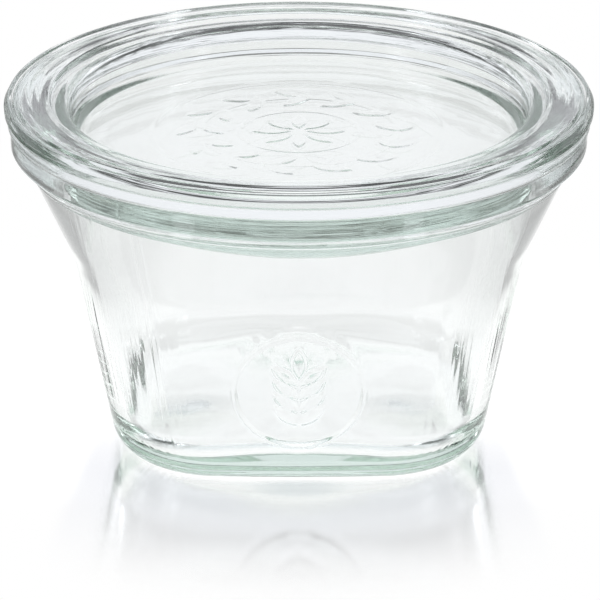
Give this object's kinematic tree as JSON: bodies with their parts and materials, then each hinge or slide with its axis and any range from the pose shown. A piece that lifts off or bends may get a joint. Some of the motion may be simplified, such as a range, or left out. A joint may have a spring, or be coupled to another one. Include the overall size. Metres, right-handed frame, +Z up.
{
  "type": "glass jar",
  "caption": "Square pressed-glass preserving jar flaring to a round rim, with a loose recessed glass lid resting on it.",
  "frame": {"origin": "centre of the foot, on the surface that the jar stands on", "axes": "+Z up through the mouth, +X to the right along one face, +Y to the back"},
  "size_m": [0.109, 0.109, 0.0648],
  "materials": {
    "jar_glass": "clear pressed soda-lime glass with a pale green tint, polished",
    "lid_glass": "clear pressed soda-lime glass with a pale grey-green tint, polished"
  },
  "bodies": {
    "root": {"jar_body": "jar_glass", "lid": "lid_glass"}
  },
  "joints": []
}
